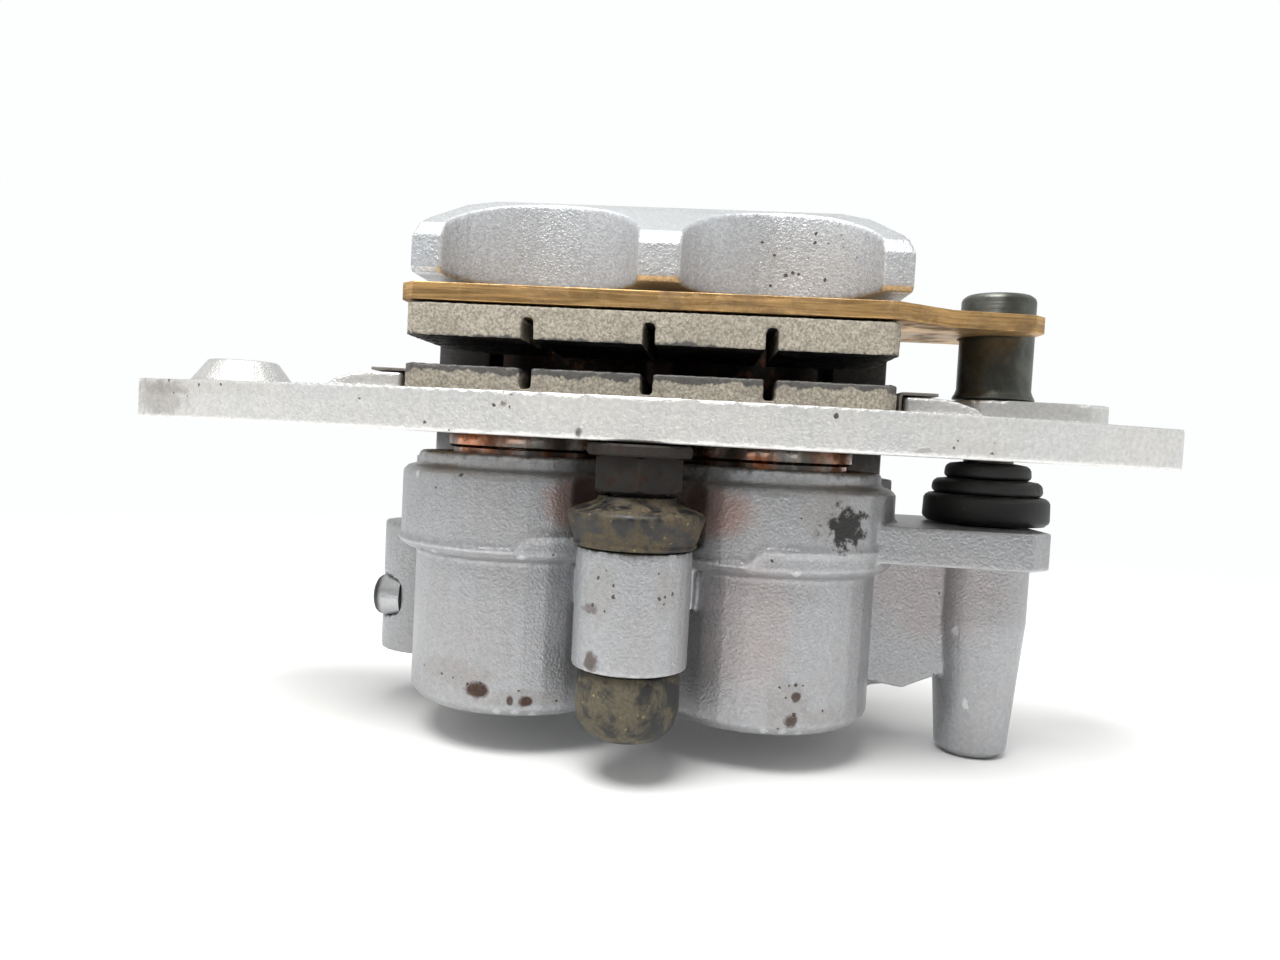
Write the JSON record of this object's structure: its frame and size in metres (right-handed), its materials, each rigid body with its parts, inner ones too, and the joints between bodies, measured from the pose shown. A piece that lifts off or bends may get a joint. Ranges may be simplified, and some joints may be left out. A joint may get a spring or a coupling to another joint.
{
  "type": "sliding disc brake caliper",
  "caption": "Sliding disc brake caliper on its fork bracket: hydraulic cylinders below, bridge and finger over the disc, pads between, slide pins with rubber boots.",
  "frame": {"origin": "centre of the bottom of the overall box, at rest", "axes": "+X along the bracket towards the end slide pin, +Y from the hub side to the bridge, +Z along the pistons towards the disc and the finger"},
  "size_m": [0.1696, 0.085, 0.093],
  "materials": {
    "cast_aluminium": "silver painted casting, fine grain",
    "bracket_aluminium": "silver painted plate, fine grain",
    "chrome_piston": "ground hard chrome",
    "seal_rubber": "matte",
    "black_rubber": "matte, dusty",
    "rusty_steel": "dull, rusted",
    "dark_steel": "dark oxidised",
    "spring_steel": "satin",
    "plated_backing": "yellow-gold plated steel",
    "friction_material": "sintered, matte"
  },
  "bodies": {
    "bracket": {"mounting_bracket": "bracket_aluminium", "centre_slide_pin": "rusty_steel", "end_slide_pin": "dark_steel", "pad_retainer_left": "spring_steel", "pad_retainer_right": "spring_steel"},
    "caliper": {"caliper_body": "cast_aluminium", "piston_seal_left": "seal_rubber", "piston_seal_right": "seal_rubber", "dust_seal_left": "seal_rubber", "dust_seal_right": "seal_rubber", "centre_pin_boot": "black_rubber", "end_pin_boot": "black_rubber", "pad_pin": "dark_steel", "pad_pin_plug": "dark_steel", "pad_spring": "spring_steel", "passage_plug": "dark_steel"},
    "piston_left": {"piston_left": "chrome_piston"},
    "piston_right": {"piston_right": "chrome_piston"},
    "inner_pad": {"inner_pad_shim": "spring_steel", "inner_pad_backing": "plated_backing", "inner_pad_friction": "friction_material"},
    "outer_pad": {"outer_pad_backing": "plated_backing", "outer_pad_friction": "friction_material"},
    "bleed_screw": {"bleed_screw": "rusty_steel", "bleed_cap": "black_rubber"}
  },
  "joints": [
    {"name": "caliper_slide", "type": "slide", "parent": "bracket", "child": "caliper", "axis": [0, 0, 1], "range_m": [-0.0038, 0]},
    {"name": "inner_pad_slide", "type": "slide", "parent": "bracket", "child": "inner_pad", "axis": [0, 0, 1], "range_m": [0, 0.002]},
    {"name": "piston_left_slide", "type": "slide", "parent": "caliper", "child": "piston_left", "axis": [0, 0, 1], "range_m": [0, 0.0038]},
    {"name": "piston_right_slide", "type": "slide", "parent": "caliper", "child": "piston_right", "axis": [0, 0, 1], "range_m": [0, 0.0038]},
    {"name": "outer_pad_slide", "type": "slide", "parent": "bracket", "child": "outer_pad", "axis": [0, 0, 1], "range_m": [-0.002, 0]},
    {"name": "bleed_screw_turn", "type": "hinge", "parent": "caliper", "child": "bleed_screw", "pos_m": [0.03285, 0.0274, 0.019], "axis": [0, 1, 0], "range_deg": [0, 180]}
  ],
  "couplings": [
    {"joint": "piston_left_slide", "follows": "caliper_slide", "ratio": -1},
    {"joint": "piston_right_slide", "follows": "caliper_slide", "ratio": -1}
  ]
}
